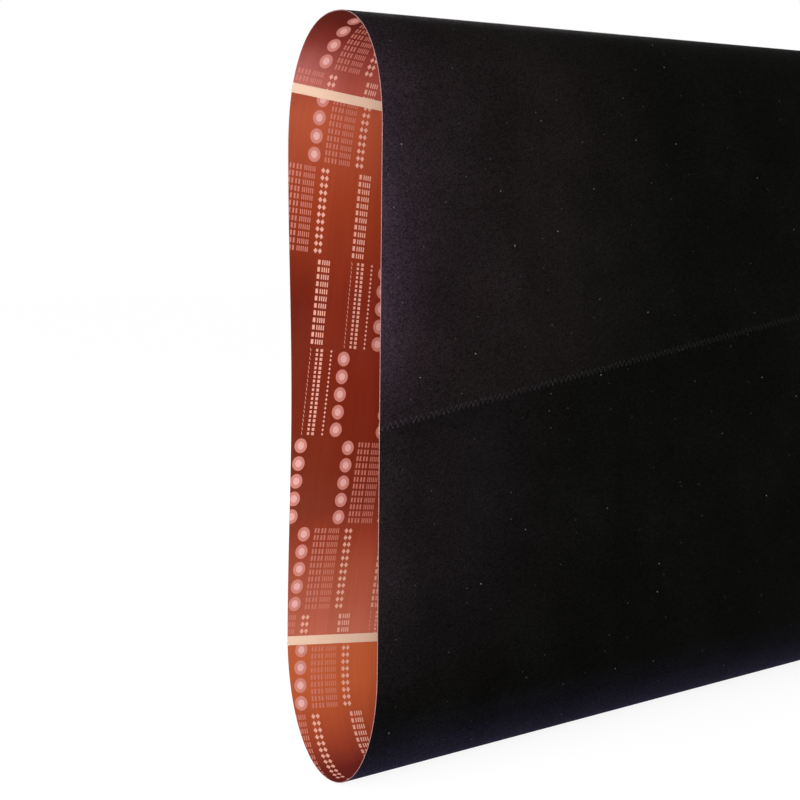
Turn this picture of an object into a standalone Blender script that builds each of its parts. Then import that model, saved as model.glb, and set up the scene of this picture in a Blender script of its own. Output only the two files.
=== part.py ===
"""Sectional sanding belt: three lengths of abrasive cloth, butted with zigzag joints and taped inside.

The roller axis runs along X, the working front of the loop faces -Y and Z is up. The origin is the middle
of the loop. Every sheet is cut out flat, in the plane of x (across the belt) and s (round the loop), and is
then bent onto the loop.
"""

import math
from bisect import bisect_right

import bmesh
import bpy

# Belt and cloth, in metres
BELT_WIDTH = 1.650
CLOTH_THICKNESS = 0.0015

# Loop, measured over its outer face
LOOP_HEIGHT = 1.474
LOOP_DEPTH = 0.305
TOP_RISE_FRONT = 0.222  # the crest above the upper end of the front run
TOP_RISE_BACK = 0.251  # the crest above the upper end of the back run
CREST_SHIFT = 0.012  # the crest stands this far forward of the middle
TOP_FULLNESS = 2.24  # exponent of the top bend, where 2 is an ellipse
BOTTOM_RISE = 0.256
BOTTOM_FULLNESS = 2.07
BACK_RUN_BOW = 0.0124  # the slack back run bows in by this much at its middle

# Splices, all at one angle in the unrolled cloth
SPLICE_ANGLE = math.radians(7.5)
FRONT_SPLICE_DROP = 0.0195  # below the middle of the loop, at the left edge of the front run
FRONT_TO_UPPER = 1.046  # cloth between the front splice and the upper splice of the back run
UPPER_TO_LOWER = 1.097  # cloth between the two splices of the back
TOOTH_PITCH = 0.012
TOOTH_DEPTH = 0.012
LEAST_TOOTH = 0.0015  # a flank narrower than this at the right edge joins the flank beside it
JOINT_CLEARANCE = 0.0003  # between the flanks of two butted edges

# Splice tape, on the inner face
TAPE_WIDTH = 0.0185
TAPE_THICKNESS = 0.0003
TAPE_CLEARANCE = 0.0003  # between the tape and the cloth

# Facets of the bent cloth
QUARTER_BEND_FACETS = 12
BACK_RUN_FACETS = 10
FOLD_SNAP = 0.00002  # a cut point this near a fold counts as on it
ROOT_SNAP = 0.0001  # a cut point this near the row of tooth roots is a root

GRAIN_BLACK = (0.012, 0.010, 0.012, 1.0)
BACKING_BROWN = (0.235, 0.042, 0.016, 1.0)
TAPE_CREAM = (0.760, 0.560, 0.370, 1.0)


def quarter_bend(side_y, crest_y, rise, fullness):
    """Points (y, height above the run's end) of a quarter superellipse, from a run's end to the crest."""
    points = []
    for i in range(QUARTER_BEND_FACETS + 1):
        turn = math.pi / 2 * i / QUARTER_BEND_FACETS
        across = max(math.cos(turn), 0.0) ** (2 / fullness)
        up = math.sin(turn) ** (2 / fullness)
        points.append((crest_y + (side_y - crest_y) * across, rise * up))
    return points


def loop_profile():
    """Outer points (y, z) of the loop, from the foot of the front run up, over, down the back and under."""
    front, back = -LOOP_DEPTH / 2, LOOP_DEPTH / 2
    top, bottom = LOOP_HEIGHT / 2, -LOOP_HEIGHT / 2
    points = [(front, bottom + BOTTOM_RISE)]
    rise_front = quarter_bend(front, -CREST_SHIFT, TOP_RISE_FRONT, TOP_FULLNESS)
    points += [(y, top - TOP_RISE_FRONT + up) for y, up in rise_front]
    fall_back = quarter_bend(back, -CREST_SHIFT, TOP_RISE_BACK, TOP_FULLNESS)
    points += [(y, top - TOP_RISE_BACK + up) for y, up in reversed(fall_back[:-1])]
    run_top, run_foot = top - TOP_RISE_BACK, bottom + BOTTOM_RISE
    for i in range(1, BACK_RUN_FACETS):
        share = i / BACK_RUN_FACETS
        bow = BACK_RUN_BOW * math.sin(math.pi * share) ** 2
        points.append((back - bow, run_top + (run_foot - run_top) * share))
    fall = quarter_bend(back, 0.0, BOTTOM_RISE, BOTTOM_FULLNESS)
    points += [(y, run_foot - down) for y, down in fall]
    climb = quarter_bend(front, 0.0, BOTTOM_RISE, BOTTOM_FULLNESS)
    points += [(y, run_foot - down) for y, down in reversed(climb[1:-1])]
    return points


def fold_distances(points):
    """Distance round the loop to each profile point, and last the whole length of the belt."""
    distances = [0.0]
    for (y0, z0), (y1, z1) in zip(points, points[1:] + points[:1]):
        distances.append(distances[-1] + math.hypot(y1 - y0, z1 - z0))
    return distances


def mitres(points):
    """For each profile point, the step (y, z) into the loop that moves both facets beside it by one metre."""
    normals = []
    for (y0, z0), (y1, z1) in zip(points, points[1:] + points[:1]):
        length = math.hypot(y1 - y0, z1 - z0)
        normals.append(((z1 - z0) / length, -(y1 - y0) / length))
    steps = []
    for before, after in zip(normals[-1:] + normals[:-1], normals):
        scale = 1 + before[0] * after[0] + before[1] * after[1]
        steps.append(((before[0] + after[0]) / scale, (before[1] + after[1]) / scale))
    return steps


PROFILE = loop_profile()
FOLDS = fold_distances(PROFILE)
INWARD = mitres(PROFILE)
BELT_LENGTH = FOLDS[-1]


def below(i, depth):
    """The point (y, z) at this depth below profile point i."""
    return PROFILE[i][0] + depth * INWARD[i][0], PROFILE[i][1] + depth * INWARD[i][1]


def bent(x, s, depth):
    """The place of a point of the flat cloth once it is bent, at this depth below the loop's outer face."""
    along = s % BELT_LENGTH
    i = min(bisect_right(FOLDS, along), len(PROFILE)) - 1
    share = (along - FOLDS[i]) / (FOLDS[i + 1] - FOLDS[i])
    y0, z0 = below(i, depth)
    y1, z1 = below((i + 1) % len(PROFILE), depth)
    return (x - BELT_WIDTH / 2, y0 + (y1 - y0) * share, z0 + (z1 - z0) * share)


def splice_line(start):
    """The height in s of a splice at any x, for a splice that starts at s = start on the left edge."""
    return lambda x: start + x * math.tan(SPLICE_ANGLE)


def zigzag(line, shift):
    """Cut edge points (x, s) along a splice, from the left edge to the right, moved by shift in s."""
    half = TOOTH_PITCH / 2
    count = int(BELT_WIDTH / half)
    points = [(i * half, TOOTH_DEPTH / 2 * (-1) ** i) for i in range(count + 1)]
    left_over = BELT_WIDTH - points[-1][0]
    last = points[-1][1]
    if left_over > LEAST_TOOTH:
        points.append((BELT_WIDTH, last * (1 - 2 * left_over / half)))
    else:
        points[-1] = (BELT_WIDTH, last)
    return [(x, line(x) + offset + shift) for x, offset in points]


def toothed_edge(line, shift, root_side):
    """The row of tooth roots of a cut edge, left to right, and the teeth that stand on it.

    Roots lie above the splice line in s where root_side is 1, and below it where it is -1.
    """
    def root_height(x):
        return line(x) + root_side * TOOTH_DEPTH / 2 + shift

    cut = zigzag(line, shift)
    is_root = [abs(s - root_height(x)) < ROOT_SNAP for x, s in cut]
    roots = [point for point, root in zip(cut, is_root) if root]
    if not is_root[0]:
        roots.insert(0, (0.0, root_height(0.0)))
    if not is_root[-1]:
        roots.append((BELT_WIDTH, root_height(BELT_WIDTH)))
    tips = [point for point, root in zip(cut, is_root) if not root]
    teeth = []
    for left, right in zip(roots, roots[1:]):
        between = [tip for tip in tips if left[0] <= tip[0] <= right[0]]
        teeth.append([left, *between, right])
    return roots, teeth


def bent_sheet(name, flat_faces, outer_depth, inner_depth, materials):
    """One closed sheet from flat faces (lists of x, s): cut at every fold, given thickness and bent."""
    bm = bmesh.new()
    verts = {point: bm.verts.new((*point, 0.0)) for face in flat_faces for point in face}
    for face in flat_faces:
        bm.faces.new([verts[point] for point in face])
    low, high = min(s for x, s in verts), max(s for x, s in verts)
    turns = range(math.floor(low / BELT_LENGTH), math.ceil(high / BELT_LENGTH) + 1)
    for fold in (turn * BELT_LENGTH + distance for turn in turns for distance in FOLDS[:-1]):
        if low < fold < high:
            everything = bm.verts[:] + bm.edges[:] + bm.faces[:]
            bmesh.ops.bisect_plane(
                bm, geom=everything, dist=FOLD_SNAP, plane_co=(0, fold, 0), plane_no=(0, 1, 0)
            )
    raised = bmesh.ops.extrude_face_region(bm, geom=bm.faces[:], use_keep_orig=True)["geom"]
    raised_verts = {v for v in raised if isinstance(v, bmesh.types.BMVert)}
    raised_faces = {f for f in raised if isinstance(f, bmesh.types.BMFace)}
    for face in bm.faces:
        face.material_index = 0 if face in raised_faces else len(materials) - 1
    for vert in bm.verts:
        depth = outer_depth if vert in raised_verts else inner_depth
        vert.co = bent(vert.co.x, vert.co.y, depth)
    bmesh.ops.recalc_face_normals(bm, faces=bm.faces[:])
    mesh = bpy.data.meshes.new(name)
    bm.to_mesh(mesh)
    bm.free()
    for material in materials:
        mesh.materials.append(material)
    sheet = bpy.data.objects.new(name, mesh)
    bpy.context.collection.objects.link(sheet)
    return sheet


def abrasive_section(name, first_line, second_line, materials):
    """A length of abrasive cloth between two splices, grain outside and bare backing inside."""
    steepest_flank = TOOTH_DEPTH / (TOOTH_PITCH / 2) + math.tan(SPLICE_ANGLE)
    set_back = JOINT_CLEARANCE / 2 * math.hypot(1, steepest_flank)
    low_roots, low_teeth = toothed_edge(first_line, set_back, 1)
    high_roots, high_teeth = toothed_edge(second_line, -set_back, -1)
    body = low_roots + high_roots[::-1]
    flat_faces = [body] + low_teeth + [tooth[::-1] for tooth in high_teeth]
    return bent_sheet(name, flat_faces, 0.0, CLOTH_THICKNESS, materials)


def splice_tape(name, line, material):
    """A strip of tape over a splice, on the inner face of the cloth, flush with both edges of the belt."""
    half = TAPE_WIDTH / 2 / math.cos(SPLICE_ANGLE)
    outline = [
        (0, line(0) - half),
        (BELT_WIDTH, line(BELT_WIDTH) - half),
        (BELT_WIDTH, line(BELT_WIDTH) + half),
        (0, line(0) + half),
    ]
    outer_depth = CLOTH_THICKNESS + TAPE_CLEARANCE
    return bent_sheet(name, [outline], outer_depth, outer_depth + TAPE_THICKNESS, [material])


def principled(name, colour, roughness):
    """A Principled BSDF material with one colour and one roughness."""
    material = bpy.data.materials.new(name)
    material.use_nodes = True
    shader = material.node_tree.nodes["Principled BSDF"]
    shader.inputs["Base Color"].default_value = colour
    shader.inputs["Roughness"].default_value = roughness
    shader.inputs["Metallic"].default_value = 0.0
    material.diffuse_color = colour
    return material


def build():
    for old in list(bpy.data.objects):
        bpy.data.objects.remove(old)

    front_run_foot = BOTTOM_RISE - LOOP_HEIGHT / 2
    front_start = -FRONT_SPLICE_DROP - front_run_foot
    starts = [front_start, front_start + FRONT_TO_UPPER, front_start + FRONT_TO_UPPER + UPPER_TO_LOWER]
    starts.append(front_start + BELT_LENGTH)
    lines = [splice_line(start) for start in starts]

    for number in (1, 2, 3):
        grain = principled(f"grain_{number}", GRAIN_BLACK, 0.75)
        backing = principled(f"backing_{number}", BACKING_BROWN, 0.55)
        abrasive_section(f"abrasive_section_{number}", lines[number - 1], lines[number], [grain, backing])

    for number in (1, 2, 3):
        tape = principled(f"tape_{number}", TAPE_CREAM, 0.45)
        splice_tape(f"splice_tape_{number}", lines[number - 1], tape)


build()
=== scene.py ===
# Sectional sanding belt: its cloth, grain, print and tapes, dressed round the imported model. Metres, Z up.
import math

import bmesh
import bpy
import numpy as np
from mathutils import Matrix, Vector


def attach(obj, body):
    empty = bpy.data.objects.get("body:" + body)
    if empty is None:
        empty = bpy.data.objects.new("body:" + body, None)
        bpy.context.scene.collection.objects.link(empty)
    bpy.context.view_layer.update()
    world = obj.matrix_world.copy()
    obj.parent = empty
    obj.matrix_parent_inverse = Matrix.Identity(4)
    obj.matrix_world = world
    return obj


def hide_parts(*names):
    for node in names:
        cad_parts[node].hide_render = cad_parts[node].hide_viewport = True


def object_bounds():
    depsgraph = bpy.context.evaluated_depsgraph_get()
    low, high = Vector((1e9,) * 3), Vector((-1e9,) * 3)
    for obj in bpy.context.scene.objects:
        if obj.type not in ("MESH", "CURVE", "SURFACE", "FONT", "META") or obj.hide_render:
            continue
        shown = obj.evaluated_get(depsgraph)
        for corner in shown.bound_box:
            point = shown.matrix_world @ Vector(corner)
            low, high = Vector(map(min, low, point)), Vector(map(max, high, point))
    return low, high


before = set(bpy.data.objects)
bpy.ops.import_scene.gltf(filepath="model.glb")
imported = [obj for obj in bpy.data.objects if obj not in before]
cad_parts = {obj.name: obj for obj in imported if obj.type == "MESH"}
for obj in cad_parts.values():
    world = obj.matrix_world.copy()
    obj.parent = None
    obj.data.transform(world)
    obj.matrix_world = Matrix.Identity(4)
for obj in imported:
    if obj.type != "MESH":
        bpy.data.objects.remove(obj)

boxLow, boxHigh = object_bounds()
print("Frame loaded:", ", ".join(sorted(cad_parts)))


# The loop: one closed profile, read off the model's box and its own bend values

loopShape = {
    "width": boxHigh.x - boxLow.x,
    "height": boxHigh.z - boxLow.z,
    "depth": boxHigh.y - boxLow.y,
    "topRiseFront": 0.222,  # crest above the upper end of the front run
    "topRiseBack": 0.251,
    "crestShift": 0.012,  # crest stands forward of the middle
    "topFullness": 2.24,  # exponent of the bend, 2 is an ellipse
    "bottomRise": 0.256,
    "bottomFullness": 2.07,
    "backBow": 0.0124,  # slack back run bows in
    "bendSteps": 160,
    "bowSteps": 80,
}


def quarterBend(sideY, crestY, rise, fullness):
    turns = np.linspace(0, math.pi / 2, loopShape["bendSteps"] + 1)
    across = np.cos(turns).clip(0) ** (2 / fullness)
    up = np.sin(turns) ** (2 / fullness)
    return np.stack([crestY + (sideY - crestY) * across, rise * up], axis=1)


def makeProfile():
    v = loopShape
    front, back = -v["depth"] / 2, v["depth"] / 2
    top, bottom = v["height"] / 2, -v["height"] / 2
    riseFront = quarterBend(front, -v["crestShift"], v["topRiseFront"], v["topFullness"])
    fallBack = quarterBend(back, -v["crestShift"], v["topRiseBack"], v["topFullness"])[::-1]
    fall = quarterBend(back, 0.0, v["bottomRise"], v["bottomFullness"])
    climb = quarterBend(front, 0.0, v["bottomRise"], v["bottomFullness"])[::-1]
    runTop, runFoot = top - v["topRiseBack"], bottom + v["bottomRise"]
    share = np.linspace(0, 1, v["bowSteps"] + 1)[1:-1]
    bow = v["backBow"] * np.sin(math.pi * share) ** 2
    backRun = np.stack([back - bow, runTop + (runFoot - runTop) * share], axis=1)
    return np.concatenate([
        [[front, runFoot]],
        riseFront + [0, top - v["topRiseFront"]],
        fallBack[1:] + [0, runTop],
        backRun,
        fall * [1, -1] + [0, runFoot],
        climb[1:-1] * [1, -1] + [0, runFoot],
    ])


profile = makeProfile()
closedProfile = np.vstack([profile, profile[:1]])
steps = np.linalg.norm(np.diff(closedProfile, axis=0), axis=1)
profileAlong = np.concatenate([[0], np.cumsum(steps)])
beltLength = profileAlong[-1]
tangents = np.roll(profile, -1, axis=0) - np.roll(profile, 1, axis=0)
tangents /= np.linalg.norm(tangents, axis=1)[:, None]
inward = np.stack([tangents[:, 1], -tangents[:, 0]], axis=1)
profileTable = np.hstack([closedProfile, np.vstack([inward, inward[:1]])])  # y, z, inward y, inward z


def bend(x, s, depth):  # flat cloth point to its place, depth counted in from the outer face
    around = np.mod(s, beltLength)
    y, z, inY, inZ = (np.interp(around, profileAlong, profileTable[:, i]) for i in range(4))
    return np.stack([x - loopShape["width"] / 2, y + depth * inY, z + depth * inZ], axis=1)


# The cut: where the three lengths of cloth meet, and their teeth

cut = {
    "angle": math.radians(7.5),
    "frontDrop": 0.0195,  # front joint below the middle, at the left edge
    "lengths": (1.046, 1.097),  # first and second length, the third takes the rest
    "toothPitch": 0.012,
    "toothDepth": 0.012,
    "gap": 0.0003,
    "rowPitch": 0.008,
    "rowMargin": 0.001,  # between the tooth roots and the first row
}
slope = math.tan(cut["angle"])  # of the joints over the width
flank = math.hypot(1, cut["toothDepth"] * 2 / cut["toothPitch"] + slope)  # cloth length for a unit gap
halfTeeth = round(loopShape["width"] / (cut["toothPitch"] / 2))
frontStart = loopShape["height"] / 2 - loopShape["bottomRise"] - cut["frontDrop"]
jointStarts = [frontStart + long for long in (0, cut["lengths"][0], sum(cut["lengths"]), beltLength)]


def toothPoint(start, i, shift):  # i counts half teeth from the left edge
    x = min(i * cut["toothPitch"] / 2, loopShape["width"])
    return x, start + x * slope + cut["toothDepth"] / 2 * (-1) ** i + shift


def toothLine(start, shift):  # corners of a toothed edge
    return [toothPoint(start, i, shift) for i in range(halfTeeth + 1)]


def toPrint(x, s, start):  # the cloth's own directions: u along the joint, v square to it
    c, n = math.cos(cut["angle"]), math.sin(cut["angle"])
    return x * c + (s - start) * n, (s - start) * c - x * n


def finishMesh(name, bm, materials, sharpAngle=30):  # edges over this many degrees stay sharp
    mesh = bpy.data.meshes.new(name)
    bm.to_mesh(mesh)
    bm.free()
    for material in materials:
        mesh.materials.append(material)
    mesh.shade_smooth()
    mesh.set_sharp_from_angle(angle=math.radians(sharpAngle))
    piece = bpy.data.objects.new(name, mesh)
    bpy.context.scene.collection.objects.link(piece)
    return piece


def joinRows(bm, rows):  # quads between each row of points and the next
    for lower, upper in zip(rows, rows[1:]):
        for k in range(len(lower) - 1):
            bm.faces.new([lower[k], lower[k + 1], upper[k + 1], upper[k]])


def raiseSheet(bm):  # adds the outer face at level 1 and the walls down to level 0
    raised = bmesh.ops.extrude_face_region(bm, geom=bm.faces[:], use_keep_orig=True)["geom"]
    for vert in (g for g in raised if isinstance(g, bmesh.types.BMVert)):
        vert.co.z = 1
    return {g for g in raised if isinstance(g, bmesh.types.BMFace)}


def bendMesh(bm, start, outerDepth, innerDepth):  # writes the cloth map, then bends every vertex
    uvLayer = bm.loops.layers.uv.new("cloth")
    for face in bm.faces:
        for loop in face.loops:
            loop[uvLayer].uv = toPrint(loop.vert.co.x, loop.vert.co.y, start)
    flat = np.array([v.co for v in bm.verts])
    depth = np.where(flat[:, 2] > 0.5, outerDepth, innerDepth)  # level 1 is outer, 0 inner
    for vert, place in zip(bm.verts, bend(flat[:, 0], flat[:, 1], depth)):
        vert.co = place


# faceSlots: material numbers of the outer face, the inner face and the cut sides
def clothLayer(name, number, outerDepth, innerDepth, edgeInset, materials, faceSlots):
    start, end = jointStarts[number - 1], jointStarts[number]
    setBack = cut["gap"] / 2 * flank
    columns = list(range(0, halfTeeth, 2)) + [halfTeeth]
    firstRow = cut["toothDepth"] / 2 + setBack + cut["rowMargin"]
    rows = np.linspace(firstRow, end - start - firstRow, math.ceil((end - start) / cut["rowPitch"]))

    def inset(x):
        return min(max(x, edgeInset), loopShape["width"] - edgeInset)

    bm = bmesh.new()
    xs = [inset(toothPoint(start, i, 0)[0]) for i in columns]
    grid = [[bm.verts.new((x, start + x * slope + t, 0)) for x in xs] for t in rows]
    joinRows(bm, grid)
    for jointStart, shift, row, turned in ((start, setBack, grid[0], True), (end, -setBack, grid[-1], False)):
        edge = [bm.verts.new((inset(x), s, 0)) for x, s in toothLine(jointStart, shift)]
        for k in range(len(columns) - 1):
            around = edge[columns[k]:columns[k + 1] + 1][::-1]
            corners = [row[k], row[k + 1]] + around
            bm.faces.new(corners[::-1] if turned else corners)
    outerFaces = raiseSheet(bm)
    for face in bm.faces:
        onInner = all(v.co.z == 0 for v in face.verts)
        face.material_index = faceSlots[0 if face in outerFaces else 1 if onInner else 2]
    bendMesh(bm, start, outerDepth, innerDepth)
    bmesh.ops.recalc_face_normals(bm, faces=bm.faces[:])
    return finishMesh(name, bm, materials)


# Node helpers

def srgb(red, green, blue):  # a colour as a paint picker shows it, 0 to 255
    values = [c / 255 for c in (red, green, blue)]
    return tuple(c / 12.92 if c <= 0.04045 else ((c + 0.055) / 1.055) ** 2.4 for c in values) + (1.0,)


def newNode(tree, kind, **settings):
    node = tree.nodes.new(kind)
    for key, value in settings.items():
        setattr(node, key, value)
    return node


def wire(tree, value, socket):
    if isinstance(value, bpy.types.NodeSocket):
        tree.links.new(value, socket)
    else:
        socket.default_value = value


def calc(tree, operation, first, second=0.0, clamp=False):
    node = newNode(tree, "ShaderNodeMath", operation=operation, use_clamp=clamp)
    wire(tree, first, node.inputs[0])
    wire(tree, second, node.inputs[1])
    return node.outputs[0]


def product(tree, first, *others):
    for value in others:
        first = calc(tree, "MULTIPLY", first, value)
    return first


def spread(tree, value, low, high, newLow=0.0, newHigh=1.0):
    node = newNode(tree, "ShaderNodeMapRange")
    for socket, given in zip(node.inputs, (value, low, high, newLow, newHigh)):
        wire(tree, given, socket)
    return node.outputs[0]


def mixColour(tree, factor, first, second, blend="MIX"):
    node = newNode(tree, "ShaderNodeMix", data_type="RGBA", blend_type=blend)
    wire(tree, factor, node.inputs["Factor"])
    wire(tree, first, node.inputs[6])
    wire(tree, second, node.inputs[7])
    return node.outputs[2]


def stretched(tree, vector, scale, offset=(0, 0, 0)):
    node = newNode(tree, "ShaderNodeMapping")
    wire(tree, vector, node.inputs["Vector"])
    node.inputs["Location"].default_value = offset
    node.inputs["Scale"].default_value = scale
    return node.outputs[0]


def noise(tree, vector, scale, detail=2.0, roughness=0.5):
    node = newNode(tree, "ShaderNodeTexNoise")
    wire(tree, vector, node.inputs["Vector"])
    wire(tree, scale, node.inputs["Scale"])
    node.inputs["Detail"].default_value = detail
    node.inputs["Roughness"].default_value = roughness
    return node.outputs["Fac"]


def stretchedNoise(tree, vector, cells, start=(0, 0, 0), detail=2.0, roughness=0.5):
    return noise(tree, stretched(tree, vector, cells, start), 1.0, detail, roughness)


def cellPattern(tree, vector, scale, **settings):
    node = newNode(tree, "ShaderNodeTexVoronoi", **settings)
    wire(tree, vector, node.inputs["Vector"])
    wire(tree, scale, node.inputs["Scale"])
    return node.outputs["Distance"], node.outputs["Color"]


def redOf(tree, colour):  # a level of its own for each cell
    node = newNode(tree, "ShaderNodeSeparateColor")
    wire(tree, colour, node.inputs[0])
    return node.outputs[0]


def flatAxes(tree, vector):
    node = newNode(tree, "ShaderNodeSeparateXYZ")
    wire(tree, vector, node.inputs[0])
    return node.outputs[0], node.outputs[1]


def ramp(tree, share, stops):  # stops: position 0 to 1, then a colour or a plain level
    node = newNode(tree, "ShaderNodeValToRGB")
    elements = node.color_ramp.elements
    while len(elements) < len(stops):
        elements.new(0.5)
    for element, (position, shade) in zip(elements, stops):
        element.position = position
        element.color = shade if isinstance(shade, tuple) else (shade, shade, shade, 1.0)
    wire(tree, share, node.inputs[0])
    return node.outputs[0]


def evenly(level):  # ramp stops for one level all along
    return (0.0, level), (1.0, level)


def beltPlace(tree, place, number):  # shares of the width from the left edge and of the length from its joint
    node = newNode(tree, "ShaderNodeMapping")
    wire(tree, place, node.inputs["Vector"])
    node.inputs["Rotation"].default_value = (0, 0, cut["angle"])
    x, s = flatAxes(tree, node.outputs[0])
    long = jointStarts[number] - jointStarts[number - 1]
    return spread(tree, x, 0.0, loopShape["width"]), spread(tree, s, 0.0, long)


def newGroup(name, inputs, outputs):
    group = bpy.data.node_groups.new(name, "ShaderNodeTree")
    for label, kind, value in inputs:
        socket = group.interface.new_socket(name=label, in_out="INPUT", socket_type=kind)
        if value is not None:
            socket.default_value = value
    for label in outputs:
        group.interface.new_socket(name=label, in_out="OUTPUT", socket_type="NodeSocketFloat")
    return group, group.nodes.new("NodeGroupInput"), group.nodes.new("NodeGroupOutput")


def useGroup(tree, group, vector, **values):
    node = newNode(tree, "ShaderNodeGroup", node_tree=group)
    wire(tree, vector, node.inputs["Cloth Place"])
    for label, value in values.items():
        wire(tree, value, node.inputs[label])
    return node.outputs


def newMaterial(name, look):
    material = bpy.data.materials.new(name)
    material.use_nodes = True
    tree = material.node_tree
    shader = tree.nodes["Principled BSDF"]
    shader.inputs["Roughness"].default_value = look["roughness"]
    shader.inputs["Specular IOR Level"].default_value = look["specular"]
    place = newNode(tree, "ShaderNodeUVMap", uv_map="cloth").outputs[0]
    return material, tree, shader, place


def addBump(tree, shader, height, look):
    bump = newNode(tree, "ShaderNodeBump")
    bump.inputs["Strength"].default_value = look["bump"]
    bump.inputs["Distance"].default_value = look["bumpHeight"]
    wire(tree, height, bump.inputs["Height"])
    wire(tree, bump.outputs[0], shader.inputs["Normal"])


# Shared effects: woven threads, grain with painted glints, and rubs and scratches

effectShape = {  # cells and scale: noise cells per metre, across and along the cloth
    "slubs": {"cells": (420, 9, 1), "detail": 3.0},
    "slubSpan": (0.2, 0.8),  # levels between which most of it lies
    "streaks": {"cells": (95, 1.6, 1), "start": (3, 7, 0)},
    "crossingShare": 0.35,  # thread crossings against the slubs in the relief
    "clumps": {"scale": 300.0, "detail": 4.0, "roughness": 0.7},
    "noiseSpan": (0.3, 0.7),  # the same for most other noises
    "lumpSize": 0.0022,  # small heaps of grain, each of its own tone
    "lumpShare": 0.4,
    "glintSpots": ((0.120, 0.0014, 0.0), (0.060, 0.0008, 4.3)),  # painted glints on single grains: pitch, radius, offset
    "glintShare": 0.45,  # of the spots that show
    "rubs": {"cells": (5, 3, 1), "start": (11, 2, 0), "detail": 5.0, "roughness": 0.65},
    "rubSpan": (0.45, 0.75),
    "scratches": {"cells": (900, 55, 1), "start": (5, 9, 0), "detail": 1.0},
    "scratchSpan": (0.92, 0.95),  # the first is less in patches with many scratches
    "scratchPatches": {"cells": (9, 6, 1)},
}


def makeWeaveGroup():
    v = effectShape
    tree, given, out = newGroup(
        "wovenThreads",
        [("Cloth Place", "NodeSocketVector", None), ("Threads", "NodeSocketFloat", 900.0)],
        ["Height", "Slubs", "Streaks"],
    )
    place, threads = given.outputs["Cloth Place"], given.outputs["Threads"]
    x, s = flatAxes(tree, place)
    turn = product(tree, threads, 2 * math.pi)
    warp = calc(tree, "SINE", product(tree, x, turn))
    weft = calc(tree, "SINE", product(tree, s, turn))
    slubs = stretchedNoise(tree, place, **v["slubs"])
    streaks = stretchedNoise(tree, place, **v["streaks"])
    height = calc(tree, "ADD", product(tree, warp, weft, v["crossingShare"]), slubs)
    wire(tree, height, out.inputs["Height"])
    wire(tree, slubs, out.inputs["Slubs"])
    wire(tree, streaks, out.inputs["Streaks"])
    return tree


def makeGrainGroup():
    v = effectShape
    tree, given, out = newGroup(
        "coarseGrain",
        [("Cloth Place", "NodeSocketVector", None), ("Grain Size", "NodeSocketFloat", 0.0006)],
        ["Height", "Clumps", "Glints"],
    )
    place = given.outputs["Cloth Place"]
    grainEdge, _ = cellPattern(tree, place, calc(tree, "DIVIDE", 1.0, given.outputs["Grain Size"]))
    _, lumpColour = cellPattern(tree, place, 1 / v["lumpSize"])
    soft = product(tree, noise(tree, place, **v["clumps"]), 1 - v["lumpShare"])
    clumps = calc(tree, "ADD", soft, product(tree, redOf(tree, lumpColour), v["lumpShare"]))
    glints = 0.0
    for pitch, radius, offset in v["glintSpots"]:
        shifted = stretched(tree, place, (1, 1, 1), (offset, offset, 0))
        distance, spotColour = cellPattern(tree, shifted, 1 / pitch, voronoi_dimensions="2D")
        near = spread(tree, distance, radius / pitch, 0.0)
        shown = spread(tree, redOf(tree, spotColour), 1 - v["glintShare"], 1.0)
        glints = calc(tree, "ADD", glints, product(tree, near, shown), clamp=True)
    wire(tree, calc(tree, "SUBTRACT", 1.0, grainEdge), out.inputs["Height"])
    wire(tree, clumps, out.inputs["Clumps"])
    wire(tree, glints, out.inputs["Glints"])
    return tree


def makeRubGroup():
    v = effectShape
    tree, given, out = newGroup(
        "rubsAndScratches",
        [("Cloth Place", "NodeSocketVector", None), ("Scratch Share", "NodeSocketFloat", 0.5)],
        ["Rubs", "Scratches"],
    )
    place = given.outputs["Cloth Place"]
    blotches = stretchedNoise(tree, place, **v["rubs"])
    lines = stretchedNoise(tree, place, **v["scratches"])
    patches = stretchedNoise(tree, place, **v["scratchPatches"])
    low, high = v["scratchSpan"]
    lowest = calc(tree, "SUBTRACT", low, product(tree, given.outputs["Scratch Share"], patches))
    wire(tree, spread(tree, blotches, *v["rubSpan"]), out.inputs["Rubs"])
    wire(tree, spread(tree, lines, lowest, high), out.inputs["Scratches"])
    return tree


weaveGroup, grainGroup, rubGroup = makeWeaveGroup(), makeGrainGroup(), makeRubGroup()
print("Node groups made")


# Grain side

grainLook = {
    "roughness": 0.75,
    "roughnessSwing": 0.08,
    "specular": 0.01,
    "grainSize": 0.0006,
    "speckle": (0.30, 1.06),  # shade of the darkest and the lightest grains
    "plain": srgb(9, 9, 7),  # where the cover of the tones below is less than 1
    "rear": srgb(27, 24, 25),  # slack side, in fuller light
    "glow": srgb(46, 33, 45),  # painted plum sheen beside the left edge
    "sheenReach": 0.115,  # share of the width that the painted sheen reaches
    "sheenFall": 2.5,
    "rim": srgb(49, 45, 73),  # painted bluish reflection where the bends turn away, mostly under the lower bend
    "haze": srgb(46, 50, 54),
    "hazeShare": 0.06,
    # painted glints on single grains
    "glint": srgb(190, 190, 196),
    "mottle": {"scale": 7.0, "detail": 4.0},  # broad patches
    "mottleShade": (0.82, 1.18),
    "scratchShare": 0.14,
    "scratchStrength": 0.30,
    "slubThreads": 160.0,
    "slubShade": (1.12, 0.88),
    "bump": 0.5,
    "bumpHeight": 0.0004,
    "clumpRelief": 1.5,
}
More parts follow.
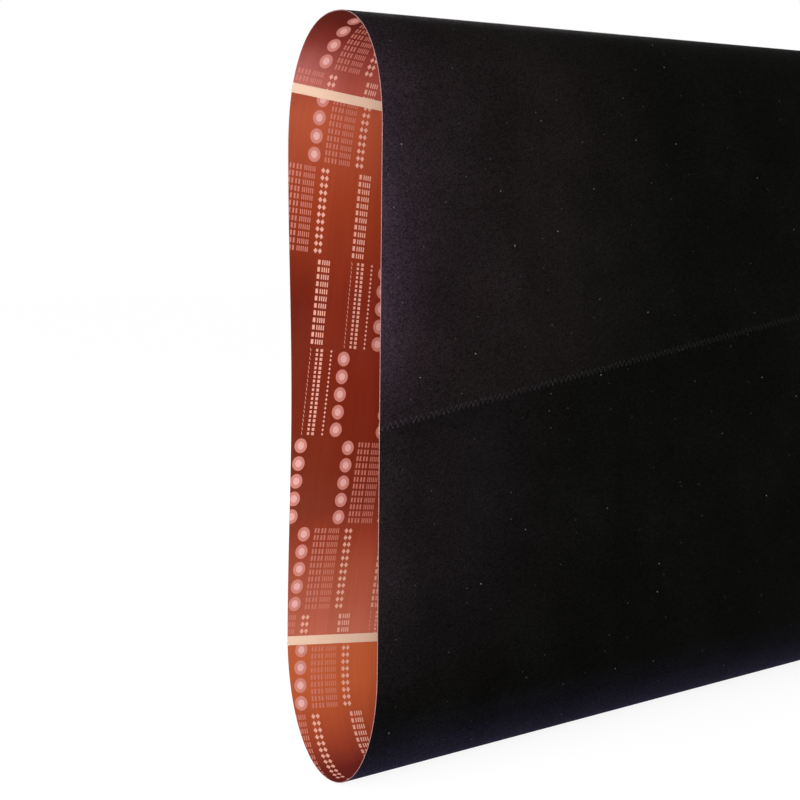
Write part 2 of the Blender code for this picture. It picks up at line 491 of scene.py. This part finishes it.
grainTones = {  # for each length of cloth: tones across the width, lighter towards the left edge, partly the grain's own tone and partly painted sheen; then shares along the length
    1: {
        "across": (
            (0.00, srgb(30, 25, 27)), (0.12, srgb(28, 23, 24)), (0.27, srgb(24, 20, 20)),
            (0.36, srgb(18, 16, 15)), (0.44, srgb(11, 11, 9)), (1.00, srgb(9, 9, 7)),
        ),
        "cover": ((0.0, 0.75), (0.12, 1.0), (0.60, 0.95), (0.75, 0.70), (1.0, 0.50)),
        "glow": (
            (0.0, 0.30), (0.05, 0.45), (0.13, 0.80), (0.20, 1.0),
            (0.38, 1.0), (0.50, 0.65), (0.65, 0.40), (0.75, 0.05),
        ),
        "rim": ((0.765, 0.0), (0.785, 0.25), (0.81, 0.0)),
        "rear": ((0.78, 0.0), (0.88, 1.0)),
    },
    2: {
        "across": ((0.00, srgb(26, 23, 24)), (0.20, srgb(19, 17, 17)), (0.35, srgb(12, 12, 10))),
        "cover": evenly(0.5),
        "glow": evenly(0.0),
        "rim": evenly(0.0),
        "rear": evenly(1.0),
    },
    3: {
        "across": (
            (0.00, srgb(30, 25, 27)), (0.05, srgb(25, 21, 23)), (0.16, srgb(20, 17, 18)),
            (0.25, srgb(14, 13, 12)), (0.35, srgb(9, 9, 7)), (1.00, srgb(9, 9, 7)),
        ),
        "cover": (
            (0.30, 0.30), (0.46, 0.10), (0.53, 0.16), (0.61, 0.45),
            (0.70, 0.72), (0.76, 1.0), (0.97, 1.0), (1.0, 0.8),
        ),
        "glow": ((0.50, 0.0), (0.66, 0.12), (1.0, 0.0)),
        "rim": (
            (0.20, 0.0), (0.26, 0.5), (0.305, 1.0), (0.345, 0.75), (0.385, 0.32), (0.44, 0.08), (0.50, 0.0),
        ),
        "rear": ((0.10, 1.0), (0.22, 0.0)),
    },
}


def grainMaterial(number):
    v, tones, noiseSpan = grainLook, grainTones[number], effectShape["noiseSpan"]
    material, tree, shader, place = newMaterial(f"grain_coat_{number}", v)
    grain = useGroup(tree, grainGroup, place, **{"Grain Size": v["grainSize"]})
    weave = useGroup(tree, weaveGroup, place, Threads=v["slubThreads"])
    rub = useGroup(tree, rubGroup, place, **{"Scratch Share": v["scratchShare"]})
    across, along = beltPlace(tree, place, number)
    # tone lighter towards the left edge, partly the grain's own and partly painted sheen; its cover falls on
    # the bends as painted shade
    cover, tone = ramp(tree, along, tones["cover"]), ramp(tree, across, tones["across"])
    colour = mixColour(tree, cover, v["plain"], tone)
    colour = mixColour(tree, ramp(tree, along, tones["rear"]), colour, v["rear"])
    # painted plum sheen beside the left edge, as strong along the length as the glow ramp gives
    near = calc(tree, "POWER", spread(tree, across, v["sheenReach"], 0.0), v["sheenFall"])
    glow = product(tree, near, ramp(tree, along, tones["glow"]))
    colour = mixColour(tree, glow, colour, v["glow"], "ADD")
    # painted bluish reflection on the crest and under the lower bend
    colour = mixColour(tree, ramp(tree, along, tones["rim"]), colour, v["rim"])
    colour = mixColour(tree, product(tree, rub["Rubs"], v["hazeShare"]), colour, v["haze"])
    mottle = spread(tree, noise(tree, place, **v["mottle"]), *noiseSpan, *v["mottleShade"])
    speckle = spread(tree, grain["Clumps"], *noiseSpan, *v["speckle"])
    slubs = spread(tree, weave["Slubs"], *effectShape["slubSpan"], *v["slubShade"])
    colour = mixColour(tree, 1.0, colour, product(tree, mottle, speckle, slubs), "MULTIPLY")
    scratches = product(tree, rub["Scratches"], v["scratchStrength"])
    colour = mixColour(tree, scratches, colour, v["haze"])
    # painted glints on single grains
    colour = mixColour(tree, grain["Glints"], colour, v["glint"])
    wire(tree, colour, shader.inputs["Base Color"])
    swing = v["roughnessSwing"]
    rough = spread(tree, grain["Clumps"], *noiseSpan, v["roughness"] + swing, v["roughness"] - swing)
    wire(tree, rough, shader.inputs["Roughness"])
    height = calc(tree, "ADD", grain["Height"], product(tree, grain["Clumps"], v["clumpRelief"]))
    addBump(tree, shader, height, v)
    return material


# Cloth side

backingLook = {
    "roughness": 0.72,
    "roughnessSwing": 0.07,
    "specular": 0.06,
    "threads": 900.0,
    "streakShade": (0.965, 1.035),  # long faint streaks, darkest and lightest
    "slubShade": (0.90, 1.10),
    "edgeShade": 0.86,  # cloth is darker beside the left edge
    "edgeReach": 0.05,  # share of the width
    "bowShade": 0.78,  # along the left edge where the slack run bows in
    "bowReach": (0.050, 0.022),  # shares of the width, where it starts and is full
    "bowStretch": {
        1: evenly(0.0),
        2: ((0.24, 0.0), (0.34, 1.0), (0.42, 1.0), (0.47, 0.45), (0.65, 0.15), (0.80, 0.0)),
        3: evenly(0.0),
    },
    "pale": srgb(204, 134, 134),  # painted pinkish light on the left side of the cloth above the upper joint
    "paleReach": (0.080, 0.010),
    "paleStretch": {
        1: ((0.905, 0.0), (0.95, 0.28), (1.0, 0.55)),
        2: evenly(0.0),
        3: evenly(0.0),
    },
    "deepShade": 1.14,  # further in the cloth is lighter
    "deepReach": (0.075, 0.135),
    "rubbed": srgb(186, 112, 86),
    "rubShare": 0.08,
    "bump": 0.35,
    "bumpHeight": 0.0002,
}
backingTones = {  # for each length of cloth: share of the length from its first joint, colour; the cloth's own change of tone along each length, with painted shade inside the top bend (length 1) and the bottom bend (length 3)
    1: (
        (0.00, srgb(176, 82, 54)),
        (0.30, srgb(146, 52, 30)),
        (0.60, srgb(122, 38, 23)),
        (0.78, srgb(84, 25, 19)),
        (0.86, srgb(101, 33, 27)),
        (0.92, srgb(130, 53, 46)),
        (1.00, srgb(168, 82, 69)),
    ),
    2: (
        (0.00, srgb(158, 74, 52)),
        (0.05, srgb(174, 84, 57)),
        (0.20, srgb(150, 60, 33)),
        (0.38, srgb(121, 38, 22)),
        (0.55, srgb(118, 37, 20)),
        (0.68, srgb(118, 41, 22)),
        (0.76, srgb(122, 48, 32)),
        (0.82, srgb(148, 62, 42)),
        (0.88, srgb(164, 81, 58)),
        (0.94, srgb(175, 91, 69)),
        (1.00, srgb(187, 104, 84)),
    ),
    3: (
        (0.00, srgb(191, 98, 60)),
        (0.10, srgb(186, 92, 53)),
        (0.19, srgb(156, 68, 42)),
        (0.26, srgb(108, 36, 31)),
        (0.34, srgb(104, 34, 28)),
        (0.60, srgb(128, 42, 25)),
        (0.85, srgb(162, 74, 54)),
        (1.00, srgb(184, 100, 86)),
    ),
}


def backingMaterial(number):
    v, slubSpan = backingLook, effectShape["slubSpan"]
    material, tree, shader, place = newMaterial(f"backing_cloth_{number}", v)
    weave = useGroup(tree, weaveGroup, place, Threads=v["threads"])
    rub = useGroup(tree, rubGroup, place)
    across, along = beltPlace(tree, place, number)
    streaks = spread(tree, weave["Streaks"], *effectShape["noiseSpan"], *v["streakShade"])
    slubs = spread(tree, weave["Slubs"], *slubSpan, *v["slubShade"])
    edge = spread(tree, across, 0.0, v["edgeReach"], v["edgeShade"], 1.0)
    bowShare = ramp(tree, along, v["bowStretch"][number])
    bowPart = product(tree, spread(tree, across, *v["bowReach"]), bowShare)
    bow = spread(tree, bowPart, 0.0, 1.0, 1.0, v["bowShade"])
    deep = spread(tree, across, *v["deepReach"], 1.0, v["deepShade"])
    # painted pinkish light beside the left edge above the upper joint
    paleShare = ramp(tree, along, v["paleStretch"][number])
    palePart = product(tree, spread(tree, across, *v["paleReach"]), paleShare)
    colour = mixColour(tree, palePart, ramp(tree, along, backingTones[number]), v["pale"])
    colour = mixColour(tree, 1.0, colour, product(tree, streaks, slubs, edge, bow, deep), "MULTIPLY")
    colour = mixColour(tree, product(tree, rub["Rubs"], v["rubShare"]), colour, v["rubbed"])
    wire(tree, colour, shader.inputs["Base Color"])
    swing = v["roughnessSwing"]
    rough = spread(tree, weave["Slubs"], *slubSpan, v["roughness"] + swing, v["roughness"] - swing)
    wire(tree, rough, shader.inputs["Roughness"])
    addBump(tree, shader, weave["Height"], v)
    return material


edgeLook = {
    "roughness": 0.85,
    "specular": 0.2,
    "pale": srgb(188, 150, 152),
    "dark": srgb(118, 78, 80),
    "threads": 700.0,
    "tufts": {"cells": (900, 500, 1), "detail": 3.0},
    "tuftSpan": (0.35, 0.7),
    "bump": 0.6,
    "bumpHeight": 0.0003,
}


def cutEdgeMaterial():
    v = edgeLook
    material, tree, shader, place = newMaterial("cut_cloth_edge", v)
    weave = useGroup(tree, weaveGroup, place, Threads=v["threads"])
    tufts = stretchedNoise(tree, place, **v["tufts"])
    colour = mixColour(tree, spread(tree, tufts, *v["tuftSpan"]), v["dark"], v["pale"])
    wire(tree, colour, shader.inputs["Base Color"])
    addBump(tree, shader, calc(tree, "ADD", weave["Height"], tufts), v)
    return material


clothLayers = {
    "grainDepth": 0.00048,  # grain coat
    "backingDepth": (0.0005, 0.0015),  # cloth under it, outer and inner face
    "edgeInset": 0.0008,  # grain stops short of the slit edges
}
cutEdge = cutEdgeMaterial()
backings, grains = {}, {}
for number in (1, 2, 3):
    backingOuter, backingInner = clothLayers["backingDepth"]
    backing = clothLayer(
        f"backing_{number}", number, backingOuter, backingInner, 0.0,
        [backingMaterial(number), cutEdge], (1, 0, 1),
    )
    grain = clothLayer(
        f"grain_{number}", number, 0.0, clothLayers["grainDepth"], clothLayers["edgeInset"],
        [grainMaterial(number)], (0, 0, 0),
    )
    backings[number], grains[number] = backing, grain
    for piece, slot in ((backing, "cloth_backing"), (grain, "abrasive_grain")):
        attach(piece, "root")
        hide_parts(f"abrasive_section_{number}")
    print("Cloth made:", backing.name, len(backing.data.polygons), grain.name, len(grain.data.polygons))


# Print on the cloth: plain dots, bars, diamonds and ticks in stepped bands

printLayout = {
    "bandPitch": 0.1788,
    "bandShift": 0.0800,  # each band steps to the left
    "repeat": 0.4732,  # of a band over the width
    "rise": 0.00015,  # ink above the cloth, clear of its facets
    "trim": 0.0085,  # ink ends under the tape
    "dotRadius": 0.0148,
    "rimWidth": 0.0072,  # fainter rim round a dot's pale middle
    "dotSides": 24,
    "dotPitch": 0.0358,
    "dots": 5,
    "rows": 12,  # of bars, blocks and diamonds
    "rowPitch": 0.0143,
    "rowStart": -0.0075,
    "tickRows": 20,  # of the small marks
    "tickPitch": 0.00876,
    "tickStart": -0.0128,
    "starts": {1: (-0.0634, 0.1190), 2: (-0.0250, 0.0765), 3: (-0.0159, 0.0350)},  # v and u of the first dot
    "secondDots": 0.3573,  # second column of dots, from the first
    "bar": 0.36,  # bar width as a share of the mark
    "slashFoot": 0.2,  # inner end of its foot as a share of half its width
    "reach": 0.02,  # rows this far past a joint still leave part of a mark
    "cutTolerance": 1e-6,
    "facingLift": 0.2,  # the loop is tall, so height says less about which way is in
}
bright, faint, dotRim, dotMiddle = range(4)  # ink numbers, in the order of the shades below
rowMarks = (  # offset from the dots, shape, width, height, ink
    (0.0315, "bars", 0.0118, 0.0100, faint),
    (0.0480, "bars", 0.0118, 0.0100, faint),
    (0.0636, "bars", 0.0072, 0.0100, faint),
    (0.0732, "bars", 0.0072, 0.0100, faint),
    (0.0828, "bars", 0.0072, 0.0100, faint),
    (0.1050, "diamond", 0.0098, 0.0112, bright),
    (0.1155, "diamond", 0.0098, 0.0112, bright),
    (0.1965, "block", 0.0060, 0.0092, bright),
    (0.2075, "bars", 0.0082, 0.0096, bright),
    (0.2178, "bars", 0.0082, 0.0096, bright),
)
tickMarks = (
    (0.2754, "slash", 0.0030, 0.0058, bright),
    (0.2910, "block", 0.0052, 0.0052, bright),
    (0.3020, "block", 0.0064, 0.0058, bright),
    (0.3254, "diamond", 0.0056, 0.0062, bright),
)


def dotOutline(radius, sides):
    turns = [2 * math.pi * i / sides for i in range(sides)]
    return [(radius * math.cos(turn), radius * math.sin(turn)) for turn in turns]


def markOutlines(shape, width, height):
    w, h = width / 2, height / 2
    if shape == "diamond":
        return [[(-w, 0), (0, -h), (w, 0), (0, h)]]
    if shape == "slash":
        foot = w * printLayout["slashFoot"]
        return [[(-w, -h), (-foot, -h), (w, h), (foot, h)]]
    if shape == "bars":
        bar = width * printLayout["bar"]
        left = [(-w, -h), (-w + bar, -h), (-w + bar, h), (-w, h)]
        return [left, [(x + width - bar, y) for x, y in left]]
    return [[(-w, -h), (w, -h), (w, h), (-w, h)]]


def bandMarks():  # every mark of one band as (u, v, outline, ink), from its first dot
    v = printLayout
    marks = []
    for column in (0.0, v["secondDots"]):
        for i in range(v["dots"]):
            marks.append((column, i * v["dotPitch"], dotOutline(v["dotRadius"], v["dotSides"]), dotRim))
    rowSets = (
        (rowMarks, v["rows"], v["rowStart"], v["rowPitch"]),
        (tickMarks, v["tickRows"], v["tickStart"], v["tickPitch"]),
    )
    for columns, rows, first, pitch in rowSets:
        for offset, shape, width, height, ink in columns:
            for outline in markOutlines(shape, width, height):
                marks += [(offset, first + i * pitch, outline, ink) for i in range(rows)]
    return marks


def printPiece(number, materials):
    v = printLayout
    start, end = jointStarts[number - 1], jointStarts[number]
    span = (end - start) * math.cos(cut["angle"])
    firstV, firstU = v["starts"][number]
    c, n = math.cos(cut["angle"]), math.sin(cut["angle"])
    widest = loopShape["width"] * c + span * n
    marks = bandMarks()
    bm = bmesh.new()
    for band in range(-1, math.ceil(span / v["bandPitch"]) + 1):
        left = (firstU - band * v["bandShift"]) % v["repeat"] - 2 * v["repeat"]
        while left < widest:
            for offset, down, outline, ink in marks:
                u, w = left + offset, firstV + band * v["bandPitch"] + down  # w is square to the joint
                x = u * c - w * n
                inWidth = -v["dotRadius"] < x < loopShape["width"] + v["dotRadius"]
                if inWidth and -v["reach"] < w < span + v["reach"]:
                    corners = [(u + du, w + dw) for du, dw in outline]
                    face = bm.faces.new([
                        bm.verts.new((pu * c - pv * n, start + pu * n + pv * c, 0)) for pu, pv in corners
                    ])
                    face.material_index = ink
            left += v["repeat"]
    discs = [f for f in bm.faces if f.material_index == dotRim]
    bm.normal_update()
    bmesh.ops.inset_individual(bm, faces=discs, thickness=v["rimWidth"])
    for disc in discs:
        disc.material_index = dotMiddle
    limits = (  # belt edges, then both joints
        ((0, 0, 0), (-1, 0, 0)),
        ((loopShape["width"], 0, 0), (1, 0, 0)),
        ((0, start + v["trim"], 0), (slope, -1, 0)),
        ((0, end - v["trim"], 0), (-slope, 1, 0)),
    )
    for place, outwards in limits:
        bmesh.ops.bisect_plane(
            bm, geom=bm.verts[:] + bm.edges[:] + bm.faces[:], dist=v["cutTolerance"],
            plane_co=place, plane_no=outwards, clear_outer=True,
        )
    depth = clothLayers["backingDepth"][1] + v["rise"]
    bendMesh(bm, start, depth, depth)
    for face in bm.faces:  # ink faces the inside of the loop
        middle = face.calc_center_median()
        if face.normal.dot(Vector((0, -middle.y, -middle.z * v["facingLift"]))) < 0:
            face.normal_flip()
    return finishMesh(f"print_{number}", bm, materials)


inkLook = {
    "shades": {
        "ink_bright": srgb(230, 174, 157),
        "ink_faint": srgb(194, 120, 106),
        "ink_dot_rim": srgb(202, 133, 122),
        "ink_dot_middle": srgb(226, 178, 176),
    },
    "cloth": srgb(168, 84, 62),  # shows through where the ink is thin
    "thin": 0.4,  # share of it where the ink is thinnest
    "wear": {"scale": 420.0, "detail": 3.0},
    "wearSpan": (0.4, 0.8),
    "roughness": 0.55,
    "specular": 0.3,
    "bump": 0.3,
    "bumpHeight": 0.0002,
}


def inkMaterial(name, colour):
    v = inkLook
    material, tree, shader, place = newMaterial(name, v)
    weave = useGroup(tree, weaveGroup, place, Threads=backingLook["threads"])
    wear = spread(tree, noise(tree, place, **v["wear"]), *v["wearSpan"], 0.0, v["thin"])
    wire(tree, mixColour(tree, wear, colour, v["cloth"]), shader.inputs["Base Color"])
    addBump(tree, shader, weave["Height"], v)
    return material


inks = [inkMaterial(name, colour) for name, colour in inkLook["shades"].items()]
prints = {}
for number in (1, 2, 3):
    prints[number] = printPiece(number, inks)
    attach(prints[number], "root")
    print("Print made:", prints[number].name, len(prints[number].data.polygons))


# Joints: glue bead in the zigzag outside, tape inside

tapeLook = {
    "width": 0.0185,
    "depths": (0.00155, 0.0021),  # outer and inner face
    "cream": srgb(236, 207, 184),
    "strand": srgb(217, 181, 150),
    "rubbed": srgb(244, 224, 204),
    "strands": {"cells": (14, 2600, 1)},
    "strandSpan": (0.35, 0.75),
    "strandShare": 0.7,
    "rubShare": 0.3,
    "threads": 500.0,
    "roughness": 0.42,
    "roughnessRange": (0.36, 0.5),
    "specular": 0.4,
    "acrossStep": 0.012,
    "bump": 0.4,
    "bumpHeight": 0.0001,
}


def tapeMaterial():
    v = tapeLook
    material, tree, shader, place = newMaterial("splice_tape_film", v)
    strands = stretchedNoise(tree, place, **v["strands"])
    rub = useGroup(tree, rubGroup, place)
    weave = useGroup(tree, weaveGroup, place, Threads=v["threads"])
    strandPart = spread(tree, strands, *v["strandSpan"], 0.0, v["strandShare"])
    colour = mixColour(tree, strandPart, v["cream"], v["strand"])
    colour = mixColour(tree, product(tree, rub["Rubs"], v["rubShare"]), colour, v["rubbed"])
    wire(tree, colour, shader.inputs["Base Color"])
    rough = spread(tree, strands, *effectShape["noiseSpan"], *v["roughnessRange"])
    wire(tree, rough, shader.inputs["Roughness"])
    addBump(tree, shader, calc(tree, "ADD", strands, weave["Height"]), v)
    return material


def tapePiece(number, material):
    v = tapeLook
    start = jointStarts[number - 1]
    half = v["width"] / 2 / math.cos(cut["angle"])
    count = math.ceil(loopShape["width"] / v["acrossStep"])
    bm = bmesh.new()
    rows = []
    for t in (-half, -half / 2, 0, half / 2, half):  # enough rows to follow the cloth
        xs = [loopShape["width"] * k / count for k in range(count + 1)]
        rows.append([bm.verts.new((x, start + x * slope + t, 0)) for x in xs])
    joinRows(bm, rows)
    raiseSheet(bm)
    bendMesh(bm, start, *v["depths"])
    bmesh.ops.recalc_face_normals(bm, faces=bm.faces[:])
    return finishMesh(f"tape_{number}", bm, [material])


beadLook = {
    "halfWidth": 0.0009,
    "rise": 0.00015,  # ridge above the grain
    "sink": 0.0002,
    "colours": (  # over the width
        (0.0, srgb(64, 55, 64)), (0.10, srgb(55, 48, 55)), (0.30, srgb(46, 43, 46)),
        (0.45, srgb(38, 37, 38)), (0.75, srgb(32, 31, 32)),
    ),
    "gapColour": srgb(12, 11, 12),
    "gaps": {"scale": 140.0, "detail": 3.0},
    "gapSpan": (0.38, 0.62),
    "lumps": {"scale": 600.0, "detail": 3.0},
    "roughness": 0.6,
    "specular": 0.1,
    "bump": 0.6,
    "bumpHeight": 0.0003,
    "sharpAngle": 50,
}


def beadMaterial():
    v = beadLook
    material, tree, shader, place = newMaterial("joint_glue", v)
    x, _ = flatAxes(tree, place)
    glue = ramp(tree, spread(tree, x, 0.0, loopShape["width"]), v["colours"])
    filled = spread(tree, noise(tree, place, **v["gaps"]), *v["gapSpan"])
    wire(tree, mixColour(tree, filled, v["gapColour"], glue), shader.inputs["Base Color"])
    addBump(tree, shader, noise(tree, place, **v["lumps"]), v)
    return material


def beadPiece(number, material):
    v = beadLook
    start = jointStarts[number - 1]
    reach = v["halfWidth"] * flank
    bm = bmesh.new()
    lines = []
    for shift, level in ((-reach, 0.0), (0.0, 1.0), (reach, 0.0)):  # a ridge between two feet
        lines.append([bm.verts.new((x, s, level)) for x, s in toothLine(start, shift)])
    joinRows(bm, lines + lines[:1])
    for k in (0, halfTeeth):
        bm.faces.new([line[k] for line in lines])
    bendMesh(bm, start, -v["rise"], v["sink"])
    bmesh.ops.recalc_face_normals(bm, faces=bm.faces[:])
    return finishMesh(f"joint_bead_{number}", bm, [material], v["sharpAngle"])


tapeFilm, jointGlue = tapeMaterial(), beadMaterial()
for number in (1, 2, 3):
    tape = tapePiece(number, tapeFilm)
    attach(tape, "root")
    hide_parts(f"splice_tape_{number}")
    bead = beadPiece(number, jointGlue)
    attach(bead, "root")
    print("Joint made:", tape.name, bead.name)


# Camera, floor and light

cameraPlace = {
    "location": (-2.5341, -2.4501, 0.4287),
    "yaw": math.radians(37.374),  # from +Y towards +X
    "pitch": math.radians(-7.853),
    "roll": math.radians(0.633),
    "lens": 71.545,
    "sensor": 36.0,
    "farClip": 60,
}


def addCamera():
    v = cameraPlace
    yaw, pitch, roll = v["yaw"], v["pitch"], v["roll"]
    ahead = Vector((math.sin(yaw) * math.cos(pitch), math.cos(yaw) * math.cos(pitch), math.sin(pitch)))
    level = Vector((math.cos(yaw), -math.sin(yaw), 0))
    upright = level.cross(ahead)
    right = level * math.cos(roll) + upright * math.sin(roll)
    up = upright * math.cos(roll) - level * math.sin(roll)
    data = bpy.data.cameras.new("camera")
    data.lens, data.sensor_width = v["lens"], v["sensor"]
    data.clip_end = v["farClip"]
    camera = bpy.data.objects.new("camera", data)
    axes = Matrix((right, up, -ahead)).transposed().to_4x4()
    camera.matrix_world = Matrix.Translation(v["location"]) @ axes
    bpy.context.scene.collection.objects.link(camera)
    bpy.context.scene.camera = camera


stageLook = {
    "floorSize": 24.0,
    "floorGap": 0.0006,  # under the bottom bend
    "floorColour": srgb(240, 240, 240),
    "floorRoughness": 0.9,
    "floorGlow": 0.80,  # share of plain white in the floor as the camera sees it
    "glowStrength": 1.09,  # makes up for the shaded rest of the floor
    "worldColour": srgb(246, 246, 248),
    "worldStrength": 0.75,
}


def seenRays(tree):  # rays that see the plain white background
    path = newNode(tree, "ShaderNodeLightPath")
    seen = calc(tree, "MAXIMUM", path.outputs["Is Camera Ray"], path.outputs["Is Glossy Ray"])
    return calc(tree, "MAXIMUM", seen, path.outputs["Is Transmission Ray"])


def mixShaders(tree, share, first, second, output):
    mix = newNode(tree, "ShaderNodeMixShader")
    for socket, given in zip(mix.inputs, (share, first, second)):
        wire(tree, given, socket)
    wire(tree, mix.outputs[0], tree.nodes[output].inputs["Surface"])


def addFloor():
    v = stageLook
    half = v["floorSize"] / 2
    level = boxLow.z - v["floorGap"]
    mesh = bpy.data.meshes.new("floor")
    corners = [(x * half, y * half, level) for x, y in ((-1, -1), (1, -1), (1, 1), (-1, 1))]
    mesh.from_pydata(corners, [], [(0, 1, 2, 3)])
    floor = bpy.data.objects.new("floor", mesh)
    bpy.context.scene.collection.objects.link(floor)
    material = bpy.data.materials.new("floor_paper")
    material.use_nodes = True
    tree = material.node_tree
    shader = tree.nodes["Principled BSDF"]
    shader.inputs["Base Color"].default_value = v["floorColour"]
    shader.inputs["Roughness"].default_value = v["floorRoughness"]
    shader.inputs["Specular IOR Level"].default_value = 0.0
    glow = newNode(tree, "ShaderNodeEmission")
    glow.inputs["Strength"].default_value = v["glowStrength"]
    share = product(tree, seenRays(tree), v["floorGlow"])
    mixShaders(tree, share, shader.outputs[0], glow.outputs[0], "Material Output")
    mesh.materials.append(material)


def setWorld():
    world = bpy.data.worlds.new("studio")
    bpy.context.scene.world = world
    world.use_nodes = True
    tree = world.node_tree
    light = tree.nodes["Background"]
    light.inputs["Color"].default_value = stageLook["worldColour"]
    light.inputs["Strength"].default_value = stageLook["worldStrength"]
    white = newNode(tree, "ShaderNodeBackground")
    white.inputs["Color"].default_value = (1, 1, 1, 1)
    mixShaders(tree, seenRays(tree), light.outputs[0], white.outputs[0], "World Output")


lamps = {  # place, what it looks at, size, power, colour
    "key": ((-2.6, -3.2, 2.6), (-0.3, 0.0, 0.1), 1.6, 30, srgb(255, 252, 248)),
    "inside": ((-2.8, -2.3, 0.4), (-0.75, 0.1, 0.0), 1.0, 72, srgb(255, 250, 246)),
    "side": ((-3.4, -0.3, 0.2), (-0.8, 0.0, 0.0), 1.2, 20, srgb(255, 250, 246)),
    "sheen": ((1.6, -3.4, 0.9), (-0.6, 0.0, 0.2), 1.2, 15, srgb(236, 230, 255)),
    "rear": ((2.4, 3.4, 1.9), (0.1, 0.1, 0.0), 2.0, 110, srgb(255, 252, 248)),
    "farEnd": ((3.4, 0.3, 0.5), (0.8, 0.0, 0.0), 1.0, 30, srgb(255, 250, 246)),
}


def addLamps():
    for name, (place, target, size, power, colour) in lamps.items():
        data = bpy.data.lights.new(name, "AREA")
        data.size, data.energy, data.color = size, power, colour[:3]
        lamp = bpy.data.objects.new(name, data)
        lamp.location = place
        lamp.rotation_euler = (Vector(target) - Vector(place)).to_track_quat("-Z", "Y").to_euler()
        bpy.context.scene.collection.objects.link(lamp)


addCamera()
addFloor()
setWorld()
addLamps()
bpy.context.scene.view_settings.view_transform = "Standard"
print("Camera, floor and light set")
